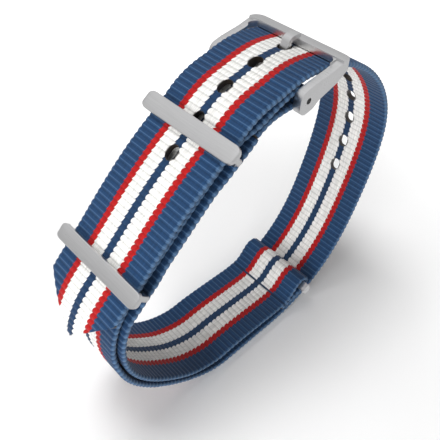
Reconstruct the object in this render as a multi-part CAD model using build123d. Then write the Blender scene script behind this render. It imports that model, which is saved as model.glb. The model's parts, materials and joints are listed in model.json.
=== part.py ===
# NATO watch strap, buckled into a loop and standing on its lowest run.
# Millimetres, +Z up. The loop lies in the XZ plane and the bands run their width along Y.
# The origin is the middle of the whole strap's box in X and Y, at the height it rests on.
import os
from math import cos, radians, sin

from build123d import *

os.makedirs("parts", exist_ok=True)

# driving dimensions
band_width = 18.0
band_thickness = 1.1
loop_height = 68.0
tail_length = 55.5
tail_gap = 0.7
lay_gap = 0.15
layer_gap = 0.35
running_gap = 0.05
metal_thickness = 1.0
pin_diameter = 1.5

# The loop's line, followed counterclockwise from the right end of the flat that it rests on.
# Each point is a share of the loop's height: along X, and up from the middle of the resting band.
loop_shares = [
    (0.353, 0.000), (0.483, 0.021), (0.600, 0.083), (0.688, 0.180), (0.758, 0.326), (0.807, 0.495),
    (0.813, 0.641), (0.774, 0.751), (0.680, 0.863), (0.557, 0.938), (0.449, 0.966), (0.361, 0.968),
    (0.249, 0.932), (0.135, 0.865), (-0.013, 0.744), (-0.124, 0.648), (-0.198, 0.576), (-0.240, 0.483),
    (-0.242, 0.381), (-0.188, 0.245), (-0.094, 0.131), (0.016, 0.042), (0.080, 0.010), (0.140, 0.000),
]

# places along the loop's line, as shares of its length
pin_share = 0.471
upper_keeper_share = 0.5434
lower_keeper_share = 0.666
end_keeper_share = 0.0557

# long band
sample_step = 2.4
rise_length = 34.0
slack_length = 14.0
long_flap_length = 10.6
weld_overlap = 0.15
tip_length = 11.0
tip_nose = 1.6
hole_length = 3.2
hole_width = 2.0
hole_pitch = 6.5
hole_count = 13
first_hole_from_pin = 20.4
slot_width = 2.6
slot_reach = 3.4

# short band
short_start_from_pin = 11.8
pocket_ramp = 4.4
keeper_play = 0.6
sag_gap = 2.35
sag_start_share = 0.862
sag_full_share = 0.944
sag_end_gap = 1.75
climb_length = 6.6
short_flap_length = 8.0
short_flap_slope_length = 4.0

# keepers
keeper_side_gap = 1.0
keeper_corner = 1.9
keeper_upper_width = 3.3
keeper_lower_width = 3.0
keeper_end_width = 2.2
inner_bar_thickness = 0.9
end_bar_thickness = 1.2
end_pocket_radius = 1.35
keeper_flat_end = 0.22

# buckle
frame_side_gap = 0.9
arm_thickness = 1.1
ear_radius = 2.3
bar_reach = 8.6
bar_rise = 3.9
bar_width = 2.8
bar_thickness = 1.3
bar_tilt = -8.0
bar_round = 0.35
plan_corner = 1.7
arm_corner = 0.7
pin_tip_diameter = 0.8
arm_shares = [
    (-0.262, 0.345), (0.540, 0.550), (0.930, 0.530), (1.190, 0.460), (1.215, 0.330), (1.020, 0.165),
    (0.262, -0.070), (-0.262, -0.070),
]

# tongue
tongue_width = 1.9
tongue_thickness = 0.8
tongue_eye_wall = 0.75
tongue_lean_share = 0.42
tongue_tip_setback = 1.6
holes_past_tongue_count = 4

# spring bar
tube_wall = 0.25
plunger_diameter = 0.9
ear_side_gap = 0.12
spring_length = 5.0
spring_wire = 0.18
spring_turns = 8
plunger_reach = 0.7

half_band = band_thickness / 2
keeper_length = band_width + 2 * (keeper_side_gap + metal_thickness)
frame_width = band_width + 2 * (frame_side_gap + arm_thickness)
wrap_radius = pin_diameter / 2 + running_gap + half_band


def ease(x):
    """Smooth step from 0 to 1."""
    x = min(max(x, 0), 1)
    return x * x * (3 - 2 * x)


loop_points = [(x * loop_height, half_band + z * loop_height) for x, z in loop_shares]
round_line = Spline(*loop_points)
round_length = round_line.length
flat_length = loop_points[0][0] - loop_points[-1][0]
loop_length = round_length + flat_length
pin_place = pin_share * loop_length
lap_pin_place = pin_place + loop_length
tip_place = lap_pin_place + tail_length


def on_loop(place, offset=0):
    """A point beside the loop's line, with the line's direction there. Offset is outward."""
    along = place % loop_length
    if along > round_length:
        x = loop_points[-1][0] + along - round_length
        point, way = Vector(x, half_band), Vector(1, 0)
    else:
        point = round_line.position_at(along, position_mode=PositionMode.LENGTH)
        way = round_line.tangent_at(along, position_mode=PositionMode.LENGTH)
    outward = Vector(way.Y, -way.X)
    return point + outward * offset, way


def local_plane(place, offset=0):
    """A plane on a layer: X along the band, Y across it, Z outward."""
    point, way = on_loop(place, offset)
    outward = Vector(way.Y, 0, -way.X)
    return Plane(origin=(point.X, 0, point.Y), x_dir=(way.X, 0, way.Y), z_dir=outward)


def ribbon(start, end, offset):
    """One run of band along the loop's line, at an offset that may change with the place."""
    count = max(4, round((end - start) / sample_step))
    places = [start + (end - start) * i / count for i in range(count + 1)]
    outer = [on_loop(place, offset(place) + half_band)[0] for place in places]
    inner = [on_loop(place, offset(place) - half_band)[0] for place in places]
    edges = [Spline(*outer), Line(outer[-1], inner[-1]), Spline(*reversed(inner)), Line(inner[0], outer[0])]
    return across(make_face(edges))


def across(face):
    """Sweep an XZ outline over the band's width."""
    return extrude(Plane.XZ * face, band_width / 2, both=True)


def fold(centre, way, radius):
    """Half a turn of band round a bar, on the side that the direction points to."""
    ahead = Vector(way.X, way.Y).normalized()
    up = Vector(-ahead.Y, ahead.X)
    large = radius + half_band
    small = radius - half_band
    edges = [
        ThreePointArc(centre + up * large, centre + ahead * large, centre - up * large),
        Line(centre - up * large, centre - up * small),
        ThreePointArc(centre - up * small, centre + ahead * small, centre + up * small),
        Line(centre + up * small, centre + up * large),
    ]
    return across(make_face(edges))


def long_offset(place):
    """The second lap rises onto the first, closes over the pin and then lies slack."""
    rise = ease((place - lap_pin_place + rise_length) / rise_length)
    slack = ease((place - lap_pin_place) / slack_length) - ease((place - tip_place + tip_length) / tip_length)
    return rise * (band_thickness + lay_gap) + slack * (tail_gap - lay_gap)


def long_flap_offset(place):
    """The end of the long band, folded back under it and welded to it."""
    close = ease((place - pin_place) / (long_flap_length - weld_step))
    return -2 * wrap_radius + close * (2 * wrap_radius - band_thickness + weld_overlap)


weld_step = band_thickness * 2
pin_point, pin_way = on_loop(pin_place, -wrap_radius)


def hole_cut(place, depth):
    """The cutter of one punched hole, through one layer only."""
    plane = local_plane(place, long_offset(place))
    return extrude(plane * SlotOverall(hole_length, hole_width), depth, both=True)


def pointed_tip(tail):
    """Cut both corners off the end of the tail."""
    plane = local_plane(tip_place - tip_length / 2, long_offset(tip_place))
    half = band_width / 2
    reach = tip_length / 2
    for side in (-1, 1):
        corner = Polyline(
            (-reach, side * half), (reach, side * tip_nose), (2 * reach, side * tip_nose),
            (2 * reach, side * 2 * half), (-reach, side * 2 * half), close=True,
        )
        tail -= extrude(plane * make_face(corner), tip_length, both=True)
    return tail


def make_long_band():
    tail_start = lap_pin_place + slack_length + hole_length
    tail = pointed_tip(ribbon(tail_start, tip_place, long_offset))
    near_end = ribbon(pin_place, pin_place + long_flap_length, long_offset)
    near_end += fold(pin_point, -pin_way, wrap_radius)
    near_end += ribbon(pin_place, pin_place + long_flap_length, long_flap_offset)
    slot = Box(2 * slot_reach, slot_width, 2 * (wrap_radius + band_thickness))
    near_end -= local_plane(pin_place, -wrap_radius) * slot
    band = near_end + ribbon(pin_place + long_flap_length, tail_start, long_offset) + tail
    for i in range(hole_count):
        place = lap_pin_place + first_hole_from_pin - i * hole_pitch
        band -= hole_cut(place, half_band + lay_gap * 2 / 3)
    return band


upper_place = upper_keeper_share * loop_length
lower_place = lower_keeper_share * loop_length
end_place = end_keeper_share * loop_length + loop_length
short_start = pin_place + short_start_from_pin
short_side = band_thickness + layer_gap
pocket_side = band_thickness + 2 * lay_gap + inner_bar_thickness
fold_radius = end_pocket_radius + half_band
end_bar_side = band_thickness + half_band + lay_gap + end_pocket_radius


def short_offset(place):
    """The short band inside the long one: pockets for two keeper bars, a sag, and the climb to the fold."""
    side = short_side
    for keeper_place, width in ((upper_place, keeper_upper_width), (lower_place, keeper_lower_width)):
        beyond = abs(place - keeper_place) - width / 2 - keeper_play
        side += (pocket_side - short_side) * (1 - ease(beyond / pocket_ramp))
    sag_start = sag_start_share * loop_length
    sag_full = sag_full_share * loop_length
    side += (sag_gap - layer_gap) * ease((place - sag_start) / (sag_full - sag_start))
    climb_start = end_place - climb_length
    side += (sag_end_gap - sag_gap) * ease((place - sag_full) / (climb_start - sag_full))
    top = end_bar_side + fold_radius
    side += (top - band_thickness - sag_end_gap) * ease((place - climb_start) / climb_length)
    return -side


def short_flap_offset(place):
    """The end of the short band, brought back under it as far as the foot of the climb."""
    back = ease((end_place - place - running_gap) / (short_flap_length - short_flap_slope_length / 2))
    low = end_bar_side - fold_radius
    high = sag_end_gap - lay_gap
    return -(low + back * (high - low))


def make_short_band():
    centre, way = on_loop(end_place, -end_bar_side)
    band = ribbon(short_start, end_place, short_offset)
    band += fold(centre, way, fold_radius)
    band += ribbon(end_place - short_flap_length, end_place, short_flap_offset)
    return band


def ring(width, top, bottom, bar_top, bar_bottom):
    """A flat metal ring round the bands. Top and bottom are its openings' heights."""
    height = top - bottom + bar_top + bar_bottom
    middle = (top + bar_top + bottom - bar_bottom) / 2
    inside = keeper_length - 2 * metal_thickness
    outline = RectangleRounded(keeper_length, height, keeper_corner)
    opening = Pos(0, (top + bottom) / 2 - middle) * RectangleRounded(inside, top - bottom, metal_thickness / 2)
    section = Plane.YZ * (outline - opening)
    plan = extrude(RectangleRounded(width, keeper_length, width / 2 - keeper_flat_end), height, both=True)
    return Pos(0, 0, middle) * (extrude(section, width / 2, both=True) & plan)


def make_side_keeper(place, width):
    """A keeper of the side run: outer bar over the tail, inner bar between the two bands."""
    top = band_thickness * 3 / 2 + tail_gap + lay_gap
    bottom = -half_band - lay_gap
    return local_plane(place) * ring(width, top, bottom, metal_thickness, inner_bar_thickness)


def make_end_keeper():
    """The keeper on the short band's fold: its inner bar is the hinge, its outer bar holds the long band."""
    top = -half_band - lay_gap
    bottom = end_bar_side - end_bar_thickness / 2
    body = ring(keeper_end_width, bottom, top, end_bar_thickness, metal_thickness)
    return local_plane(end_place) * (Rot(180, 0, 0) * body)


ear_inside = frame_width / 2 - arm_thickness
bar_point = pin_point + Vector(bar_reach, bar_rise)


def at_y(y, face):
    """Put an XZ outline at a depth."""
    return Plane(origin=(0, y, 0), x_dir=(1, 0, 0), z_dir=(0, -1, 0)) * face


def make_buckle_frame():
    outline = make_face(Polyline(*[(x * bar_reach, z * bar_reach) for x, z in arm_shares], close=True))
    outline = fillet(outline.vertices(), arm_corner)
    outline = Pos(pin_point.X, pin_point.Y) * (outline + Circle(ear_radius))
    outline -= Pos(pin_point.X, pin_point.Y) * Circle(pin_tip_diameter / 2 + running_gap)
    body = extrude(at_y(-ear_inside, outline), arm_thickness)
    body += extrude(at_y(frame_width / 2, outline), arm_thickness)
    section = Rot(0, 0, bar_tilt) * RectangleRounded(bar_width, bar_thickness, bar_round)
    section = Pos(bar_point.X, bar_point.Y) * section
    body += extrude(at_y(0, section), frame_width / 2, both=True)
    plan_length = 4 * bar_reach
    plan = Pos(bar_point.X + bar_width / 2 - plan_length / 2, 0) * RectangleRounded(
        plan_length, frame_width, plan_corner
    )
    return body & extrude(plan, 2 * loop_height)


tongue_hole_place = lap_pin_place + first_hole_from_pin - holes_past_tongue_count * hole_pitch
eye_radius = pin_diameter / 2 + running_gap + tongue_eye_wall


def make_tongue():
    """An eye round the pin and a flat prong: under the tail, up through a hole, over the end bar."""
    hole_point = on_loop(tongue_hole_place, long_offset(tongue_hole_place))[0]
    half = tongue_thickness / 2
    bar_top = bar_point.Y + bar_thickness / 2 * cos(radians(bar_tilt)) - bar_width / 2 * sin(radians(bar_tilt))
    over = bar_top + half + running_gap
    climb = over - hole_point.Y
    lean = climb * tongue_lean_share
    low = pin_point.Y + eye_radius - half
    drop = hole_point.Y - low
    route = [
        (pin_point.X, low),
        (hole_point.X - drop * tongue_lean_share, low),
        (hole_point.X + lean, over),
        (bar_point.X + bar_width / 2 - tongue_tip_setback, over),
    ]
    outline = Pos(pin_point.X, pin_point.Y) * Circle(eye_radius)
    for (x0, z0), (x1, z1) in zip(route[:-1], route[1:]):
        side = Vector(-(z1 - z0), x1 - x0).normalized() * half
        corners = [(x0 + side.X, z0 + side.Y), (x1 + side.X, z1 + side.Y),
                   (x1 - side.X, z1 - side.Y), (x0 - side.X, z0 - side.Y)]
        outline += make_face(Polyline(*corners, close=True))
        outline += Pos(x1, z1) * Circle(half)
    outline -= Pos(pin_point.X, pin_point.Y) * Circle(pin_diameter / 2 + running_gap)
    return extrude(at_y(0, outline), tongue_width / 2, both=True)


def along_pin(radius, start, end):
    """A round bar on the pin's axis, from one depth to another."""
    return extrude(at_y(start, Pos(pin_point.X, pin_point.Y) * Circle(radius)), start - end)


tube_end = ear_inside - ear_side_gap


def make_tube():
    bore = pin_diameter / 2 - tube_wall
    return along_pin(pin_diameter / 2, tube_end, -tube_end) - along_pin(bore, tube_end, -tube_end)


def make_plunger(side):
    """One sprung end: a shaft in the tube and a thinner tip in the ear's hole."""
    shaft = along_pin(plunger_diameter / 2, side * spring_length / 2, side * tube_end)
    tip = along_pin(pin_tip_diameter / 2, side * tube_end, side * (ear_inside + plunger_reach))
    return shaft + tip


def make_spring():
    coil_radius = plunger_diameter / 2 - spring_wire / 2
    length = spring_length - spring_wire - 2 * running_gap
    path = Helix(pitch=length / spring_turns, height=length, radius=coil_radius)
    wire = Plane(origin=path @ 0, z_dir=path % 0) * Circle(spring_wire / 2)
    coil = sweep(wire, path, is_frenet=True)
    middle = Pos(0, 0, -length / 2) * coil
    return Pos(pin_point.X, 0, pin_point.Y) * (Rot(90, 0, 0) * middle)


pieces = {
    "long_band": make_long_band(),
    "short_band": make_short_band(),
    "keeper_upper": make_side_keeper(upper_place, keeper_upper_width),
    "keeper_lower": make_side_keeper(lower_place, keeper_lower_width),
    "keeper_end": make_end_keeper(),
    "buckle_frame": make_buckle_frame(),
    "buckle_tongue": make_tongue(),
    "spring_bar_tube": make_tube(),
    "spring_bar_spring": make_spring(),
    "spring_bar_plunger_near": make_plunger(-1),
    "spring_bar_plunger_far": make_plunger(1),
}
whole = Compound(children=[Compound(piece.wrapped) for piece in pieces.values()]).bounding_box()
to_origin = Pos(-whole.center().X, 0, -whole.min.Z)
for name, piece in pieces.items():
    export_step(to_origin * piece, f"parts/{name}.step")
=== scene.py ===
# %% [markdown]
# # A striped nylon watch strap, buckled into a loop
# The strap is two woven bands, a steel buckle and three flat steel rings. This lesson dresses its CAD
# solids: the bands are woven again as thin ribbed cloth, the metal is rounded and brushed, and the
# whole stands on a white table. Sizes are in millimetres and turn to metres where a mesh is finished.

# %% Tools and the CAD frame
import json
from math import cos, pi, radians, sin

import bpy
import numpy as np
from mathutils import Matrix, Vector

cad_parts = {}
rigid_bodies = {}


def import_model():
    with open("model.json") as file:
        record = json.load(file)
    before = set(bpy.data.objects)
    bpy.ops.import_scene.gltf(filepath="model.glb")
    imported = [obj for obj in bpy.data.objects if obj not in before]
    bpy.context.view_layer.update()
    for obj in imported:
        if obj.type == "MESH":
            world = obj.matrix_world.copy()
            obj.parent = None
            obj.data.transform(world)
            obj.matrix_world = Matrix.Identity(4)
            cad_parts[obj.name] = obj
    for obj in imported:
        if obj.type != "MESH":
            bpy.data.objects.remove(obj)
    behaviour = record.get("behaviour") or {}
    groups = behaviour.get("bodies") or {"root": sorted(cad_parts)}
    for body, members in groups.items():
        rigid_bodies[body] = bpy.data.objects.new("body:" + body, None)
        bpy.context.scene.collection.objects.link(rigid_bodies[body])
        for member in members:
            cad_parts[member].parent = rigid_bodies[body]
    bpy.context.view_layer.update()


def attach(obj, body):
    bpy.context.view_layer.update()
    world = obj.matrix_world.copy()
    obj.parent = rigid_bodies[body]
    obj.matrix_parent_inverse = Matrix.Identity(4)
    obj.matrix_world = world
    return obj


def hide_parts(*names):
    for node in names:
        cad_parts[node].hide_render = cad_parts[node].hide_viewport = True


for obj in list(bpy.data.objects):
    bpy.data.objects.remove(obj)
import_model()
mm = 0.001

# %% [markdown]
# ## Camera
# The photograph looks down on the strap from its front left corner, quite close, so near edges are
# clearly larger than far ones. Lens, place and angle were fitted to the bands' edges, the ribs and the
# straight metal bars. The photograph has no ruler in it: the band is taken to be 18 mm wide, and all
# other sizes follow from that. The camera is made first.

# %% Camera
lens = bpy.data.cameras.new("photo_camera")
lens.lens = 45.818
lens.sensor_width = 36.0
lens.clip_start = 0.01
camera = bpy.data.objects.new("photo_camera", lens)
camera.location = (-0.055567, -0.055653, 0.116480)
camera.rotation_euler = (radians(90 - 46.538), 0, radians(-43.035))
bpy.context.collection.objects.link(camera)
bpy.context.scene.camera = camera
print("camera stands", round(camera.location.length * 1000), "mm from the origin")

# %% [markdown]
# ## The line that the bands follow
# Seen from the side, both bands lie beside one closed line. It is a smooth curve through a few points,
# closed by the short flat that the strap rests on. A place on it is a distance in millimetres along the
# curve, counterclockwise from the flat's right end, and an offset is how far outside it a layer lies.

# %% The loop's line
band_width = 18.0
band_thickness = 1.1
loop_height = 68.0
tail_length = 56.8
tail_gap = 0.7
lay_gap = 0.15
layer_gap = 0.35
half_band = band_thickness / 2
shift = np.array((-18.8593, 0.0131))
loop_shares = [
    (0.353, 0.000), (0.483, 0.021), (0.600, 0.083), (0.688, 0.180), (0.758, 0.326), (0.807, 0.495),
    (0.813, 0.641), (0.774, 0.751), (0.680, 0.863), (0.557, 0.938), (0.449, 0.966), (0.361, 0.968),
    (0.249, 0.932), (0.135, 0.865), (-0.013, 0.744), (-0.124, 0.648), (-0.198, 0.576), (-0.240, 0.483),
    (-0.242, 0.381), (-0.188, 0.245), (-0.094, 0.131), (0.016, 0.042), (0.080, 0.010), (0.140, 0.000),
]
knots = np.array(loop_shares) * loop_height + (0, half_band)


def smooth_line(points, steps=60):
    """A cubic spline through the points, with the end slopes of a cubic through the last four."""
    t = np.r_[0, np.cumsum(np.hypot(*np.diff(points, axis=0).T))]
    h = np.diff(t)
    n = len(points)
    matrix, right = np.zeros((n, n)), np.zeros((n, 2))
    matrix[0, 0] = matrix[-1, -1] = 1
    right[0] = np.polyfit(t[:4] - t[0], points[:4], 3)[-2]
    right[-1] = np.polyfit(t[-4:] - t[-1], points[-4:], 3)[-2]
    for i in range(1, n - 1):
        matrix[i, i - 1 : i + 2] = h[i], 2 * (h[i] + h[i - 1]), h[i - 1]
        before, after = points[i] - points[i - 1], points[i + 1] - points[i]
        right[i] = 3 * (h[i] * before / h[i - 1] + h[i - 1] * after / h[i])
    slope = np.linalg.solve(matrix, right)
    u = np.linspace(0, 1, steps, endpoint=False)[:, None]
    runs = [
        (1 + 2 * u) * (1 - u) ** 2 * points[i] + u * (1 - u) ** 2 * h[i] * slope[i]
        + u * u * (3 - 2 * u) * points[i + 1] + u * u * (u - 1) * h[i] * slope[i + 1]
        for i in range(n - 1)
    ]
    return np.vstack(runs + [points[-1:]])


curve = smooth_line(knots)
curve_length = np.r_[0, np.cumsum(np.hypot(*np.diff(curve, axis=0).T))]
round_length = curve_length[-1]
loop_length = round_length + knots[0, 0] - knots[-1, 0]
print("the loop's line is", round(loop_length, 2), "mm long")


def on_line(places):
    """Points on the loop's line and the outward directions there."""
    along = np.asarray(places, float) % loop_length
    flat = along > round_length

    def at(s):
        on_curve = np.stack([np.interp(s, curve_length, curve[:, k]) for k in (0, 1)], 1)
        on_flat = np.stack([knots[-1, 0] + s - round_length, np.full_like(s, half_band)], 1)
        return np.where(flat[:, None], on_flat, on_curve)

    step = 0.05
    way = at(along + step) - at(np.maximum(along - step, 0))
    way /= np.hypot(*way.T)[:, None]
    return at(along) + shift, np.stack([way[:, 1], -way[:, 0]], 1)


def ease(x):
    """Smooth step from 0 to 1."""
    x = np.clip(x, 0, 1)
    return x * x * (3 - 2 * x)


# %% [markdown]
# ## The two bands' own lines
# The long band starts with an end folded round the buckle's pin, runs once round the loop, rises onto
# itself, passes the buckle and lies on as the tail. The short band lies inside it, leaves pockets for
# two rings, sags a little, climbs to the third ring, folds round its bar and is welded back to itself.

# %% Places and offsets
pin_place = 0.471 * loop_length
lap_pin_place = pin_place + loop_length
tip_place = lap_pin_place + tail_length
upper_place = 0.5434 * loop_length
lower_place = 0.666 * loop_length
end_place = 1.0557 * loop_length
tip_length = 11.0
pin_wrap = 1.35
end_wrap = 1.9
end_bar_side = 3.15
long_flap = 10.6
short_flap = 8.0
tip_half_width = 1.6
rise_length, slack_length = 34.0, 14.0
tail_arch = 0.45
tip_stand_off = 2.0
short_start = pin_place + 10.62
sag_depth, foot_depth = 2.35, 1.75
climb_length = 6.6
first_hole, hole_pitch, hole_count = 20.4, 6.5, 13
tongue_hole = 4
upper_width, lower_width, end_width = 3.3, 3.0, 2.2
top_bar, bottom_bar = 0.9, 0.5


def long_offset(place):
    """The second lap rises onto the first, lies slack, arches between the rings and stands off at its tip."""
    rise = ease((place - lap_pin_place + rise_length) / rise_length)
    slack = ease((place - lap_pin_place) / slack_length)
    slack = slack - ease((place - tip_place + tip_length) / tip_length)
    proud = ease((place - lower_place - loop_length - 1.5) / 13.0)
    arch = 0
    for start, end in ((pin_place + 4, upper_place - 2), (upper_place + 2, lower_place - 2)):
        arch += tail_arch * np.sin(pi * np.clip((place - loop_length - start) / (end - start), 0, 1))
    return rise * (band_thickness + lay_gap) + slack * (tail_gap - lay_gap) + arch + tip_stand_off * proud


def long_flap_offset(place):
    """The folded end under the long band, down to its weld."""
    close = ease((place - pin_place) / (long_flap - 2 * band_thickness))
    return -2 * pin_wrap + close * (2 * pin_wrap - band_thickness - 0.02)


def short_offset(place):
    """Pockets for two ring bars, a sag, and the climb to the fold."""
    side = np.full_like(place, band_thickness + layer_gap)
    pocket = 2 * lay_gap + bottom_bar - layer_gap
    for middle, width in ((upper_place, upper_width), (lower_place, lower_width)):
        side += pocket * (1 - ease((np.abs(place - middle) - width / 2 - 0.6) / 4.4))
    sag_start, sag_full, climb_start = 0.862 * loop_length, 0.944 * loop_length, end_place - climb_length
    side += (sag_depth - layer_gap) * ease((place - sag_start) / (sag_full - sag_start))
    side += (foot_depth - sag_depth) * ease((place - sag_full) / (climb_start - sag_full))
    top = end_bar_side + end_wrap
    return -side - (top - band_thickness - foot_depth) * ease((place - climb_start) / climb_length)


def short_flap_offset(place):
    """The folded end under the short band, back to the foot of the climb."""
    low = end_bar_side - end_wrap
    return -low - ease((end_place - place) / (short_flap - 2.0)) * (foot_depth - lay_gap - low)


def layer(start, end, offset):
    """Points of one layer between two places."""
    places = np.linspace(start, end, int(abs(end - start) / 0.15) + 2)
    point, outward = on_line(places)
    return point + outward * offset(places)[:, None]


def half_turn(place, side, radius, ahead):
    """Half a turn round a bar, from its inner to its outer side."""
    point, outward = on_line([place])
    centre = point - outward * side
    way = np.stack([-outward[:, 1], outward[:, 0]], 1) * ahead
    angle = np.linspace(0, pi, 42)[1:-1, None]
    return centre + radius * (way * np.sin(angle) - outward * np.cos(angle))


long_line = np.vstack([
    layer(pin_place + long_flap, pin_place, long_flap_offset),
    half_turn(pin_place, pin_wrap, pin_wrap, -1),
    layer(pin_place, tip_place, long_offset),
])
short_line = np.vstack([
    layer(short_start, end_place, short_offset),
    half_turn(end_place, end_bar_side, end_wrap, 1),
    layer(end_place, end_place - short_flap, short_flap_offset),
])


def lengths(line):
    return np.r_[0, np.cumsum(np.hypot(*np.diff(line, axis=0).T))]


long_length, short_length = lengths(long_line)[-1], lengths(short_line)[-1]
print("flat lengths:", round(long_length, 1), "and", round(short_length, 1), "mm")

# %% [markdown]
# ## Weaving a band
# This webbing is a plain weave with thick cords across it, so each face is a row of ribs 1.27 mm apart
# and the edges are beaded where the thread turns round a cord. A band starts as a flat grid, gets its
# thickness, and is punched and pointed while it is flat, as in the workshop. Only then is it laid along
# its line. A simulated cloth would lose the ribs, so the band is shaped directly.

# %% Small helpers for edit mode
rib_pitch = 1.27


def only(obj):
    """Make this the one selected and active object."""
    bpy.ops.object.select_all(action="DESELECT")
    obj.select_set(True)
    bpy.context.view_layer.objects.active = obj


def added(name, size=(1, 1, 1)):
    """Name what was just added, and fix its size and place in its mesh."""
    obj = bpy.context.object
    obj.name = obj.data.name = name
    obj.scale = size
    bpy.ops.object.transform_apply(location=True, rotation=True, scale=True)
    return obj


def block(name, size, place=(0, 0, 0)):
    bpy.ops.object.select_all(action="DESELECT")
    bpy.ops.mesh.primitive_cube_add(size=1, location=place)
    return added(name, size)


def pick_edges(obj, test):
    """Enter edit mode with only the edges that pass the test selected."""
    only(obj)
    bpy.ops.object.mode_set(mode="EDIT")
    bpy.ops.mesh.select_mode(type="EDGE")
    bpy.ops.mesh.select_all(action="DESELECT")
    bpy.ops.object.mode_set(mode="OBJECT")
    co = [v.co for v in obj.data.vertices]
    for edge in obj.data.edges:
        a, b = (co[i] for i in edge.vertices)
        edge.select = test((b - a).normalized(), (a + b) / 2)
    bpy.ops.object.mode_set(mode="EDIT")


def edit_all(obj, step, **settings):
    """Run one operator of edit mode on the whole mesh."""
    only(obj)
    bpy.ops.object.mode_set(mode="EDIT")
    bpy.ops.mesh.select_all(action="SELECT")
    step(**settings)
    bpy.ops.object.mode_set(mode="OBJECT")


def round_edges(obj, axis, radius, segments):
    """Bevel the edges that run along one axis."""
    pick_edges(obj, lambda way, middle: abs(way[axis]) > 0.99)
    bpy.ops.mesh.bevel(offset=radius, segments=segments, profile=0.5)
    bpy.ops.object.mode_set(mode="OBJECT")


def finish_modifier(obj, kind, **settings):
    """Add a modifier and apply it."""
    only(obj)
    modifier = obj.modifiers.new(kind.lower(), kind)
    for key, value in settings.items():
        setattr(modifier, key, value)
    bpy.ops.object.modifier_apply(modifier=modifier.name)


def cut(obj, tool, how="DIFFERENCE"):
    """Apply one Boolean step and throw the tool away."""
    finish_modifier(obj, "BOOLEAN", operation=how, object=tool, solver="EXACT")
    bpy.data.objects.remove(tool)


# %% A flat punched strip
def rib_scale(length, tight_from):
    """Lengths along a band, and the ribs counted up to there. The tail, pulled less, has closer ribs."""
    x = np.linspace(0, length, 3000)
    pitch = rib_pitch - 0.15 * ease((x - tight_from) / 20.0)
    ribs_there = np.r_[0, np.cumsum((x[1] - x[0]) / ((pitch[1:] + pitch[:-1]) / 2))]
    return x, ribs_there * (round(ribs_there[-1]) / ribs_there[-1])


def flat_strip(name, length, scale):
    """A thin flat band, from x = 0 to its length, in millimetres, with six rows of faces to a rib."""
    bpy.ops.object.select_all(action="DESELECT")
    rows = 6 * round(scale[1][-1])
    bpy.ops.mesh.primitive_grid_add(
        x_subdivisions=rows, y_subdivisions=28, size=1, location=(length / 2, 0, 0)
    )
    strip = added(name, (length, band_width, 1))
    co = coordinates(strip)
    co[:, 0] = np.interp(co[:, 0] / length * scale[1][-1], scale[1], scale[0])
    across = co[:, 1] / (band_width / 2)
    co[:, 1] = band_width / 2 * (across + 0.55 * np.sin(pi * across) / pi)
    move_to(strip, co)
    return strip


def coordinates(obj):
    co = np.zeros(len(obj.data.vertices) * 3, np.float32)
    obj.data.vertices.foreach_get("co", co)
    return co.reshape(-1, 3).astype(float)


def move_to(obj, co):
    obj.data.vertices.foreach_set("co", co.astype(np.float32).ravel())
    obj.data.update()


def punch(strip, slots):
    """Cut rounded slots, each given as (place, length, width)."""
    tools = []
    for place, length, width in slots:
        tool = block("punch", (length, width, 4 * band_thickness), (place, 0, 0))
        round_edges(tool, 2, 0.49 * width, 5)
        tools.append(tool)
    bpy.ops.object.select_all(action="DESELECT")
    for tool in tools:
        tool.select_set(True)
    bpy.context.view_layer.objects.active = tools[0]
    bpy.ops.object.join()
    cut(strip, bpy.context.object)


def ribs(co, length, scale, slots, welds, point):
    """Shape the ribs and beaded edges. Returns how melted each point is, below 0 on a weld."""
    x, y = co[:, 0].copy(), co[:, 1].copy()
    melt = np.zeros(len(x))
    for place, slot_length, width in slots:
        straight = np.clip(x - place, -(slot_length - width) / 2, (slot_length - width) / 2)
        beside = np.hypot(x - place - straight, y) - width / 2
        melt = np.maximum(melt, 1 - ease(beside / 0.2))
    ends = np.minimum(x, length - x)
    if point:
        slant = (length - x) * (band_width / 2 - tip_half_width) / tip_length + tip_half_width - np.abs(y)
        ends = np.minimum(ends, slant)
    melt = np.maximum(melt, 1 - ease(ends / 0.45))
    pressed = np.zeros(len(x))
    for place in welds:
        pressed = np.maximum(pressed, 1 - ease(np.abs(x - place) / 0.4))
    rib = np.abs(np.sin(pi * np.interp(x, *scale))) ** 0.85
    side = np.clip((band_width / 2 - np.abs(y)) / 0.55, 0, 1)
    height = 1 - 0.24 * (1 - rib) * (1 - 0.8 * melt) - 0.45 * pressed
    co[:, 2] *= height * (0.3 + 0.7 * np.sqrt(1 - (1 - side) ** 2))
    co[:, 1] -= np.sign(y) * (1 - side) * (0.05 + 0.16 * (1 - rib))
    return np.where(melt > 0, melt, -pressed)


def lay(strip, line):
    """Bend a flat strip along its line. Its coordinates turn to metres."""
    co = coordinates(strip)
    s = lengths(line)
    way = np.gradient(line, axis=0)
    way /= np.hypot(*way.T)[:, None]
    at = [np.interp(co[:, 0], s, line[:, k]) for k in (0, 1)]
    out = [np.interp(co[:, 0], s, v) for v in (way[:, 1], -way[:, 0])]
    size = np.hypot(*out)
    laid = np.stack([at[0] + out[0] / size * co[:, 2], -co[:, 1], at[1] + out[1] / size * co[:, 2]], 1)
    move_to(strip, laid * mm)


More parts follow.
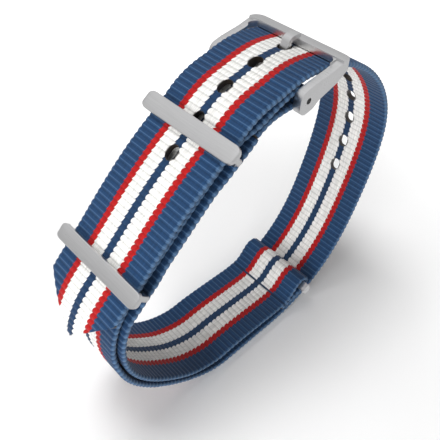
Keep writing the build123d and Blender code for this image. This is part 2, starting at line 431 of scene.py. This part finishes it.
def weave(name, line, slots=(), welds=(), point=False, tight_from=1000.0, tucked=None):
    """A whole band: flat strip, point, thickness, holes, ribs, and its way round the loop."""
    length = lengths(line)[-1]
    scale = rib_scale(length, tight_from)
    strip = flat_strip(name, length, scale)
    if point:
        for side in (1, -1):
            edit_all(
                strip, bpy.ops.mesh.bisect, plane_co=(length - tip_length, side * band_width / 2, 0),
                plane_no=(band_width / 2 - tip_half_width, side * tip_length, 0), clear_outer=True,
            )
    finish_modifier(strip, "SOLIDIFY", thickness=band_thickness, offset=0)
    if slots:
        punch(strip, slots)
    co = coordinates(strip)
    flat = co[:, :2].copy()
    flat[:, 0] = np.interp(flat[:, 0], *scale)
    melt = ribs(co, length, scale, slots, welds, point)
    if tucked:
        start, end = tucked
        co[:, 1] *= 1 - 0.11 * ease((co[:, 0] - start) / 6) * ease((end - co[:, 0]) / 8)
    move_to(strip, co)
    weave_map = strip.data.uv_layers.new(name="weave")
    corner = np.zeros(len(strip.data.loops), int)
    strip.data.loops.foreach_get("vertex_index", corner)
    weave_map.data.foreach_set("uv", flat[corner].astype(np.float32).ravel())
    melted = strip.data.attributes.new("melted", "FLOAT", "POINT")
    melted.data.foreach_set("value", melt.astype(np.float32))
    lay(strip, line)
    only(strip)
    bpy.ops.object.shade_smooth_by_angle(angle=radians(50))
    print(name, "is", round(length, 1), "mm long, with", len(strip.data.polygons), "faces")
    return strip


# %% [markdown]
# ## The long band
# Thirteen holes are punched along its middle by heat, 6.5 mm apart, and one long slot lets the tongue
# through the fold. A hot knife cuts the point of the tail. Melted edges stay a little thicker and dark.

# %% Long band
def place_on_long(place):
    """Where a place of the main run lies along the flat band."""
    start = len(long_line) - len(layer(pin_place, tip_place, long_offset))
    run = np.linspace(pin_place, tip_place, len(long_line) - start)
    return float(np.interp(place, run, lengths(long_line)[start:]))


slots = [(place_on_long(lap_pin_place + first_hole - hole_pitch * i), 2.9, 2.0) for i in range(hole_count)]
fold_slot = (place_on_long(pin_place) - pi * pin_wrap / 2, pi * pin_wrap + 6.8, 2.6)
tucked = (place_on_long(pin_place + 8), place_on_long(lower_place + 22))
long_webbing = weave(
    "long_webbing", long_line, slots=slots + [fold_slot], point=True,
    tight_from=place_on_long(lap_pin_place - 26), tucked=tucked,
)

# %% [markdown]
# ## The short band
# It has no holes. A thin weld line crosses it where the folded end is joined, and both cut ends are melted.

# %% Short band
climb_weld = short_length - short_flap - pi * end_wrap - 6.2
short_webbing = weave("short_webbing", short_line, welds=(climb_weld,))

# %% [markdown]
# ## Nylon
# Dyed nylon thread is smooth and slightly glossy, but thousands of threads side by side look soft, so
# roughness is high and a little sheen brightens the edges. The stripes are woven in, not printed: each
# rib moves a stripe's edge a little, which makes it scalloped. The map called weave counts ribs
# along the band and millimetres across it, so stripes and threads follow it through every bend.

# %% Colours and nodes
def rgb(code):
    """sRGB hex to the linear colour that shaders use."""
    parts = [int(code[i : i + 2], 16) / 255 for i in (1, 3, 5)]
    return (*[c / 12.92 if c <= 0.04045 else ((c + 0.055) / 1.055) ** 2.4 for c in parts], 1)


def new_material(name):
    material = bpy.data.materials.new(name)
    material.use_nodes = True
    material.node_tree.nodes.clear()
    return material


def node(material, kind, inputs=(), **settings):
    """Add one node: settings are its own, inputs are values or the sockets that feed it."""
    made = material.node_tree.nodes.new("ShaderNode" + kind)
    for key, value in settings.items():
        setattr(made, key, value)
    for key, value in dict(inputs).items():
        if isinstance(value, bpy.types.NodeSocket):
            material.node_tree.links.new(value, made.inputs[key])
        else:
            made.inputs[key].default_value = value
    return made


def maths(material, how, a, b=0.0, clamp=False):
    return node(material, "Math", {0: a, 1: b}, operation=how, use_clamp=clamp).outputs[0]


def ranged(material, value, low, high, start=0.0, end=1.0):
    """Map a value from one range to another, and no further."""
    return node(material, "MapRange", {0: value, 1: low, 2: high, 3: start, 4: end}).outputs[0]


def noise(material, place, scale, detail, roughness=0.5):
    inputs = {0: place, "Scale": scale, "Detail": detail, "Roughness": roughness}
    return node(material, "TexNoise", inputs).outputs[0]


def stretched(material, x, y, by_x, by_y):
    """A place for a noise that is stretched by its own amounts along and across a band."""
    x, y = maths(material, "MULTIPLY", x, by_x), maths(material, "MULTIPLY", y, by_y)
    return node(material, "CombineXYZ", {0: x, 1: y}).outputs[0]


def tinted(material, colour, tone):
    """A colour made darker or lighter by a tone around 1."""
    grey = node(material, "CombineXYZ", {0: tone, 1: tone, 2: tone}).outputs[0]
    return blend_colour(material, 1.0, colour, grey, "MULTIPLY")


def dress(objects, material):
    for obj in objects:
        obj.data.materials.clear()
        obj.data.materials.append(material)


def blend_colour(material, share, a, b, how="MIX"):
    """Mix two colours. The colour sockets of this node are its sixth and seventh."""
    return node(material, "Mix", {0: share, 6: a, 7: b}, data_type="RGBA", blend_type=how).outputs[2]


# %% Striped nylon
def striped_nylon(name):
    m = new_material(name)
    uv = node(m, "UVMap", uv_map="weave").outputs[0]
    parts = node(m, "SeparateXYZ", {0: uv})
    along, across = parts.outputs[0], parts.outputs[1]
    phase = maths(m, "FRACT", along)
    arch = maths(m, "SINE", maths(m, "MULTIPLY", phase, pi))
    saw = maths(m, "MULTIPLY", maths(m, "SUBTRACT", phase, 0.5), 0.28)
    wave = maths(m, "MULTIPLY", maths(m, "SUBTRACT", arch, 0.6), 0.16)
    blue_from = 0.541
    distance = maths(m, "ABSOLUTE", maths(m, "ADD", across, saw))
    distance = maths(m, "DIVIDE", maths(m, "ADD", distance, wave), band_width / 2)
    stripes = node(m, "ValToRGB", {0: distance})
    ramp = stripes.color_ramp
    ramp.interpolation = "CONSTANT"
    ramp.elements[0].color = rgb("#173455")
    ramp.elements[1].position = 0.083
    ramp.elements[1].color = rgb("#E8E7E4")
    for position, code in ((0.395, "#A81113"), (blue_from, "#1A3A5E")):
        ramp.elements.new(position).color = rgb(code)
    # threads lie along the band, about 0.3 mm apart, and their tones differ a little
    thread = noise(m, stretched(m, along, across, 0.45, 3.2), 1.0, 3.0, 0.6)
    tint = ranged(m, thread, 0.3, 0.7, 0.78, 1.16)
    wash = ranged(m, noise(m, uv, 0.12, 2.0), 0.3, 0.7, 0.95, 1.05)
    # painted shade: the colour is darker in the valley between two ribs
    groove_shade = ranged(m, arch, 0.0, 0.55, 0.72, 1.0)
    thread_tone_and_groove_shade = maths(m, "MULTIPLY", maths(m, "MULTIPLY", tint, wash), groove_shade)
    colour = tinted(m, stripes.outputs[0], thread_tone_and_groove_shade)
    # on the blue, a painted highlight: a thin bright line along the crest of each rib
    off_highlight_crest = maths(m, "ABSOLUTE", maths(m, "SUBTRACT", phase, 0.62))
    crown_highlight = maths(m, "SUBTRACT", 1.0, maths(m, "MULTIPLY", off_highlight_crest, 9.0), True)
    crown_highlight_on_blue = maths(m, "MULTIPLY", crown_highlight, maths(m, "GREATER_THAN", distance, blue_from))
    highlight_blue = rgb("#7FA6CE")
    colour = blend_colour(m, maths(m, "MULTIPLY", crown_highlight_on_blue, 0.2), colour, highlight_blue)
    # a painted highlight: the colour is paler along the band's two edges
    colour = blend_colour(m, ranged(m, distance, 0.95, 1.0, 0.0, 0.3), colour, highlight_blue)
    # welds, and the crust round holes and at cut ends
    melted = node(m, "Attribute", attribute_name="melted").outputs["Fac"]
    colour = blend_colour(m, ranged(m, melted, -0.2, -0.6), colour, rgb("#1B3350"))
    crust = ranged(m, melted, 0.62, 0.92)
    colour = blend_colour(m, crust, colour, rgb("#221B15"))
    rough = ranged(m, crust, 0.0, 1.0, 0.78, 0.45)
    fibre = noise(m, stretched(m, along, across, 1.8, 5.0), 1.6, 4.0, 0.65)
    bump = node(m, "Bump", {"Height": fibre, "Strength": 0.55, "Distance": 0.00009}).outputs[0]
    shader = node(m, "BsdfPrincipled", {"Base Color": colour, "Roughness": rough, "Normal": bump,
                                        "IOR": 1.53, "Sheen Weight": 0.18, "Sheen Roughness": 0.4})
    node(m, "OutputMaterial", {0: shader.outputs[0]})
    return m


nylon = striped_nylon("striped_woven_nylon")
dress((long_webbing, short_webbing), nylon)
print("striped nylon has", len(nylon.node_tree.nodes), "nodes")

# %% [markdown]
# ## Flat steel rings
# Three rings of flat steel hold the bands together. Each bar is a few millimetres wide, its ends are
# rounded seen from above, and its edges are polished to a small bright bevel. A ring is an outer block
# and an inner one with equally rounded corners, bridged on both sides. Extra rows of points then let
# the top bar end in round caps, while the walls under it are thin and drawn in.

# %% A ring
end_ring_share, end_ring_shift = 0.936, 0.5


def ring(name, place, width, top, bottom, bar_top, bar_bottom, upside_down=False):
    """A ring round the bands at a place. Top and bottom are its opening's heights."""
    length, wall, flat_end = 22.0, 1.0, 0.22
    height = top - bottom + bar_top + bar_bottom
    outer = block(name, (width, length, height), (0, 0, (top + bar_top + bottom - bar_bottom) / 2))
    round_edges(outer, 0, 0.55, 6)
    inner = block("opening", (width, length - 2 * wall, top - bottom), (0, 0, (top + bottom) / 2))
    round_edges(inner, 0, 0.5, 8)
    edit_all(inner, bpy.ops.mesh.flip_normals)
    outer.select_set(True)
    bpy.context.view_layer.objects.active = outer
    bpy.ops.object.join()
    for side in (1, -1):
        bpy.ops.object.mode_set(mode="EDIT")
        bpy.ops.mesh.select_mode(type="FACE")
        bpy.ops.mesh.select_all(action="DESELECT")
        bpy.ops.object.mode_set(mode="OBJECT")
        for face in outer.data.polygons:
            face.select = abs(face.normal.x) > 0.9 and face.center.x * side > 0
        bpy.ops.object.mode_set(mode="EDIT")
        bpy.ops.mesh.delete(type="ONLY_FACE")
        bpy.ops.object.mode_set(mode="OBJECT")
        pick_edges(outer, lambda way, middle: abs(way.x) < 0.1 and middle.x * side > 0.49 * width)
        bpy.ops.mesh.bridge_edge_loops()
        bpy.ops.object.mode_set(mode="OBJECT")
    finish_modifier(outer, "BEVEL", width=0.2, segments=3, limit_method="ANGLE", angle_limit=radians(60))
    end = width / 2 - flat_end
    heights = [((0, 0, z), (0, 0, 1)) for z in (top + 0.1, top - 0.05, top - 0.2, top - 0.35)]
    rows = np.linspace(length / 2 - end, length / 2 - 0.6, 5)
    depths = [((0, side * y, 0), (0, 1, 0)) for side in (1, -1) for y in rows]
    for point, way in heights + depths:
        edit_all(outer, bpy.ops.mesh.bisect, plane_co=point, plane_no=way)
    co = coordinates(outer)
    beyond = np.clip(np.abs(co[:, 1]) - (length / 2 - end), 0, end)
    co[:, 0] *= (flat_end + np.sqrt(end**2 - beyond**2)) / (width / 2)
    under = ease((top + 0.1 - co[:, 2]) / 0.45)
    tip = np.clip((np.abs(co[:, 1]) - 8.0) / 1.5, 0, 1)
    co[:, 0] *= 1 - 0.6 * under * tip
    past = np.maximum(np.abs(co[:, 1]) - band_width / 2, 0)
    co[:, 1] -= np.sign(co[:, 1]) * under * np.minimum(0.6 * past + 0.2, past)
    if upside_down:
        co[:, 1] *= end_ring_share
        co[:, 1:] *= -1
        co[:, 1] -= end_ring_shift
    point, outward = on_line([place])
    (px, pz), (ox, oz) = point[0], outward[0]
    x = px - oz * co[:, 0] + ox * co[:, 2]
    z = pz + ox * co[:, 0] + oz * co[:, 2]
    move_to(outer, np.stack([x, co[:, 1], z], 1) * mm)
    edit_all(outer, bpy.ops.mesh.normals_make_consistent, inside=False)
    bpy.ops.object.shade_smooth_by_angle(angle=radians(35))
    print(name, "has", len(outer.data.polygons), "faces")
    return outer


side_top = band_thickness * 1.5 + tail_gap + lay_gap
side_bottom = -half_band - lay_gap
ring_upper = ring("ring_upper", upper_place, upper_width, side_top, side_bottom, top_bar, bottom_bar)
ring_lower = ring("ring_lower", lower_place, lower_width, side_top, side_bottom, top_bar, bottom_bar)
ring_end = ring("ring_end", end_place, end_width, end_bar_side - 0.6, side_bottom, 1.2, 1.0, True)

# %% [markdown]
# ## The buckle
# It is one steel piece: a flat end bar, and two arms that drop from it to the ears that hold the pin.
# An arm is a plate cut to an outline, so it starts as a ring of points that follow that outline and is
# then extruded. The bar is a rounded block, joined to the arms, and the outer corners are cut round.

# %% Buckle frame
frame_width, arm_thickness, corner_radius = 21.4, 1.45, 1.7
bar_reach, bar_rise, bar_depth, bar_height = 9.2, 3.05, 2.8, 1.15
tilt = radians(12)
pin_point, pin_out = on_line([pin_place])
px, pz = pin_point[0] - pin_out[0] * pin_wrap


def plate(name, outline, near, far):
    """A flat plate: an outline in X and Z, from one depth to another."""
    bpy.ops.object.select_all(action="DESELECT")
    bpy.ops.mesh.primitive_circle_add(vertices=len(outline), radius=1, fill_type="NGON")
    made = added(name)
    move_to(made, np.array([(x, near, z) for x, z in outline], float))
    edit_all(made, bpy.ops.mesh.extrude_region_move, TRANSFORM_OT_translate={"value": (0, far - near, 0)})
    edit_all(made, bpy.ops.mesh.normals_make_consistent, inside=False)
    return made


def rounded(corners, radii, steps=5):
    """An outline with each corner rounded by an arc."""
    points = []
    for i, corner in enumerate(corners):
        here = Vector(corner)
        a = (Vector(corners[i - 1]) - here).normalized()
        b = (Vector(corners[(i + 1) % len(corners)]) - here).normalized()
        half = a.angle(b) / 2
        reach = radii[i] / np.tan(half)
        centre = here + (a + b).normalized() * (radii[i] / sin(half))
        start, end = here + a * reach - centre, here + b * reach - centre
        for k in range(steps + 1):
            share = k / steps
            points.append(tuple(centre + start.slerp(end, share) * radii[i]))
    return points


def cylinder(name, radius, half_length):
    """A cylinder round the pin's axis."""
    bpy.ops.object.select_all(action="DESELECT")
    bpy.ops.mesh.primitive_cylinder_add(
        vertices=40, radius=radius, depth=2 * half_length, location=(px, 0, pz), rotation=(pi / 2, 0, 0)
    )
    return added(name)


arm_corners = [(-2.2, -1.4), (-1.9, 1.9), (1.0, 2.5), (5.2, 2.95), (8.2, 3.55), (10.4, 3.25), (10.6, 2.25),
               (9.0, 1.5), (7.0, 0.3), (2.6, -1.0), (1.3, -2.0), (-0.9, -2.4)]
arm_radii = [1.6, 1.6, 3.0, 5.0, 3.0, 0.45, 0.45, 1.0, 4.0, 1.5, 1.2, 1.5]
arm_outline = [(px + x, pz + z) for x, z in rounded(arm_corners, arm_radii)]
bar_place = (px + bar_reach, 0, pz + bar_rise)
bar = block("buckle", (bar_depth, frame_width, bar_height), bar_place)
x, y, z = (coordinates(bar) - bar_place).T
tilted = np.stack([x * cos(tilt) + z * sin(tilt), y, z * cos(tilt) - x * sin(tilt)], 1)
move_to(bar, tilted + bar_place)
inside = frame_width / 2 - arm_thickness
bar_inner = px + bar_reach - 1.2
for near, far in ((-frame_width / 2, -inside), (inside, frame_width / 2)):
    cut(bar, plate("arm", arm_outline, near, far), "UNION")
    side = 1 if near > 0 else -1
    gusset_place = (bar_inner - 0.9, side * (inside - 0.9), pz + bar_rise + 0.1)
    gusset = block("gusset", (1.9, 1.9, 1.1), gusset_place)
    rounding = block("rounding", (3.4, 3.4, 3), (bar_inner - 1.7, side * (inside - 1.7), pz + bar_rise))
    round_edges(rounding, 2, 1.6, 8)
    cut(gusset, rounding)
    cut(bar, gusset, "UNION")
cut(bar, cylinder("pin_hole", 0.55, 20))
plan = block("plan", (30, frame_width, 30), (px + bar_reach + bar_depth / 2 - 15, 0, pz))
round_edges(plan, 2, corner_radius, 8)
cut(bar, plan, "INTERSECT")


def metal_finish(obj, bevel):
    """Round all sharp edges, smooth the rest, and turn millimetres to metres."""
    finish_modifier(obj, "BEVEL", width=bevel, segments=3, limit_method="ANGLE", angle_limit=radians(40))
    move_to(obj, coordinates(obj) * mm)
    only(obj)
    bpy.ops.object.shade_smooth_by_angle(angle=radians(32))
    print(obj.name, "has", len(obj.data.polygons), "faces")


metal_finish(bar, 0.38)

# %% [markdown]
# ## The tongue
# A narrow steel prong with an eye round the pin. It comes up through one hole of the tail and lies on
# the end bar, where its tip is rounded. Its side outline is a bent strip, extruded to its width.

# %% Tongue
tongue_half_width, tongue_bend = 0.85, 1.1
tongue_place = lap_pin_place + first_hole - tongue_hole * hole_pitch
hole_point, hole_out = on_line([tongue_place])
hole_point = hole_point[0] + hole_out[0] * long_offset(np.array([tongue_place]))[0]
half = 0.4
over = pz + bar_rise + 0.58 * cos(tilt) + bar_depth / 2 * sin(tilt) + half + 0.05
low = pz + 1.55 - half
lean = 0.42
route = [
    (px + 0.4, low), (hole_point[0] - (hole_point[1] - low) * lean, low),
    (hole_point[0] + (over - hole_point[1]) * lean, over),
    (px + bar_reach + bar_depth / 2 - 2.3, over - 0.04),
]


def bent_strip(route, half, bend, steps=7):
    """The outline of a strip of even thickness that follows a route with rounded bends."""
    middle = [Vector(route[0])]
    for i in range(1, len(route) - 1):
        a, here, b = Vector(route[i - 1]), Vector(route[i]), Vector(route[i + 1])
        back, on = (a - here).normalized(), (b - here).normalized()
        reach = bend / np.tan(back.angle(on) / 2)
        p, q = here + back * reach, here + on * reach
        middle += [p * (1 - t) ** 2 + here * 2 * t * (1 - t) + q * t * t for t in np.linspace(0, 1, steps)]
    middle.append(Vector(route[-1]))
    upper, under = [], []
    for i, point in enumerate(middle):
        way = (middle[min(i + 1, len(middle) - 1)] - middle[max(i - 1, 0)]).normalized()
        side = Vector((-way.y, way.x)) * half
        upper.append(point + side)
        under.append(point - side)
    way = (middle[-1] - middle[-2]).normalized()
    side = Vector((-way.y, way.x))
    nose = [middle[-1] + (way * cos(a) + side * sin(a)) * half for a in np.linspace(1.2, -1.2, 6)]
    return [tuple(p) for p in upper + nose + under[::-1]]


tongue = plate("tongue", bent_strip(route, half, tongue_bend), -tongue_half_width, tongue_half_width)
cut(tongue, cylinder("eye", 1.55, tongue_half_width), "UNION")
cut(tongue, cylinder("bore", 0.8, 3))
metal_finish(tongue, 0.3)

# %% [markdown]
# ## Brushed steel
# The metal is stainless steel. Its flats are brushed along the bars, which leaves fine lines and a
# satin gloss, and its rounded edges are polished. A metal's colour is the colour of its reflection, so
# the base is a light neutral grey, and the lines are a stretched noise that changes the roughness and
# gives a very fine bump. They are drawn 0.2 mm apart, coarser than real brush lines. The spring bar's
# dark grey is painted shade: it is dark only because the photograph shows its hole as dark, and its
# real colour is not known.

# %% Steel
def steel(name, code, rough, lines):
    m = new_material(name)
    place = node(m, "TexCoord").outputs["Object"]
    brushed_way = node(m, "Mapping", {"Vector": place, "Scale": (5000, 160, 5000)}).outputs[0]
    brush = noise(m, brushed_way, 1.0, 3.0, 0.7)
    wear = noise(m, place, 420.0, 4.0)
    colour = tinted(m, rgb(code), ranged(m, brush, 0.3, 0.7, 0.94, 1.04))
    soft = ranged(m, brush, 0.3, 0.7, rough - 0.04, rough + 0.05)
    worn = ranged(m, wear, 0.35, 0.65, -0.03, 0.03)
    bump = node(m, "Bump", {"Height": brush, "Strength": lines, "Distance": 0.00002}).outputs[0]
    shader = node(m, "BsdfPrincipled", {"Base Color": colour, "Metallic": 1.0, "Normal": bump,
                                        "Roughness": maths(m, "ADD", soft, worn)})
    node(m, "OutputMaterial", {0: shader.outputs[0]})
    return m


brushed = steel("brushed_stainless_steel", "#D8D8D9", 0.33, 0.35)
# painted shade: the spring bar's parts are dark grey to stand for the shade in its hole
spring_bar_shade_steel = steel("spring_steel_painted_shade", "#3C3C3E", 0.34, 0.15)
spring_bar = ("spring_bar_tube", "spring_bar_spring", "spring_bar_plunger_near", "spring_bar_plunger_far")
dress((ring_upper, ring_lower, ring_end, bar, tongue), brushed)
dress([bpy.data.objects[name] for name in spring_bar], spring_bar_shade_steel)

# %% [markdown]
# ## What each piece rides on and stands for
# The bands and the pin are one body. The buckle, its tongue and the three rings each move a little on
# it, so each piece rides on the CAD body that it belongs to, and takes that solid's place.

# %% Bodies
for obj, body, solid in (
    (long_webbing, "bands", "long_band"), (short_webbing, "bands", "short_band"),
    (bar, "frame", "buckle_frame"), (tongue, "tongue", "buckle_tongue"),
    (ring_upper, "upper", "keeper_upper"), (ring_lower, "lower", "keeper_lower"), (ring_end, "end", "keeper_end"),
):
    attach(obj, body)
    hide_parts(solid)

# %% [markdown]
# ## Table and light
# The photograph has a white ground with one soft shadow to the lower right. The main light is a soft
# one high above and a little behind the strap, and a low one on the left lights the webbing from the
# side. A white room all round fills the shade and gives the steel something pale to mirror. The table
# is white and keeps the shadow. Far from the strap it glows a little, which only the camera sees, so
# that the ground stays white up to its edge.

# %% Table
bpy.ops.object.select_all(action="DESELECT")
bpy.ops.mesh.primitive_plane_add(size=4, location=(0, 0, -0.00002))
table = added("table")
m = new_material("white_table")
path = node(m, "LightPath").outputs
mirrored = maths(m, "MAXIMUM", path["Is Glossy Ray"], path["Is Transmission Ray"])
shown = blend_colour(m, path["Is Camera Ray"], (0.86, 0.86, 0.86, 1), (1.0, 1.0, 1.0, 1))
paint = node(m, "BsdfDiffuse", {0: shown})
away = node(m, "VectorMath", {0: node(m, "TexCoord").outputs["Object"]}, operation="LENGTH").outputs["Value"]
ring_of_light = {0: away, 1: 0.045, 2: 0.13, 3: 0.0, 4: 0.45}
edge = node(m, "MapRange", ring_of_light, interpolation_type="SMOOTHSTEP").outputs[0]
white = node(m, "Emission", {0: (1, 1, 1, 1), 1: maths(m, "MULTIPLY", edge, path["Is Camera Ray"])})
paint = node(m, "AddShader", {0: paint.outputs[0], 1: white.outputs[0]})
glow = node(m, "Emission", {0: (0.72, 0.72, 0.72, 1)})
both = node(m, "MixShader", {0: mirrored, 1: paint.outputs[0], 2: glow.outputs[0]})
node(m, "OutputMaterial", {0: both.outputs[0]})
table.data.materials.append(m)

# %% Light
lit_point = Vector((0, 0, 0.03))
lamps = (("key", (-0.04, 0.09, 0.55), 0.22, 1.9), ("side", (-0.37, -0.14, 0.07), 0.26, 1.85))
for name, place, size, power in lamps:
    data = bpy.data.lights.new(name, "AREA")
    data.size = size
    data.energy = power
    lamp = bpy.data.objects.new(name, data)
    lamp.location = place
    lamp.rotation_euler = (lit_point - Vector(place)).to_track_quat("-Z", "Y").to_euler()
    lamp.visible_glossy = False
    bpy.context.collection.objects.link(lamp)

# %% The white room
world = bpy.data.worlds.new("white_room")
bpy.context.scene.world = world
world.use_nodes = True
world.node_tree.nodes.clear()
path = node(world, "LightPath").outputs
seen = maths(world, "MAXIMUM", path["Is Camera Ray"], path["Is Glossy Ray"])
strength = node(world, "Math", {0: seen, 1: 0.76, 2: 0.24}, operation="MULTIPLY_ADD").outputs[0]
height = node(world, "SeparateXYZ", {0: node(world, "TexCoord").outputs["Generated"]}).outputs[2]
shade = ranged(world, height, 0.0, 1.0, 0.5, 0.92)
dimmed = node(world, "Mix", {0: path["Is Glossy Ray"], 2: 1.0, 3: shade}).outputs[0]
level = maths(world, "MULTIPLY", strength, dimmed)
background = node(world, "Background", {"Color": (1, 1, 1, 1), "Strength": level})
node(world, "OutputWorld", {0: background.outputs[0]})
print("white room has", len(world.node_tree.nodes), "nodes")
bpy.context.scene.view_settings.view_transform = "Standard"
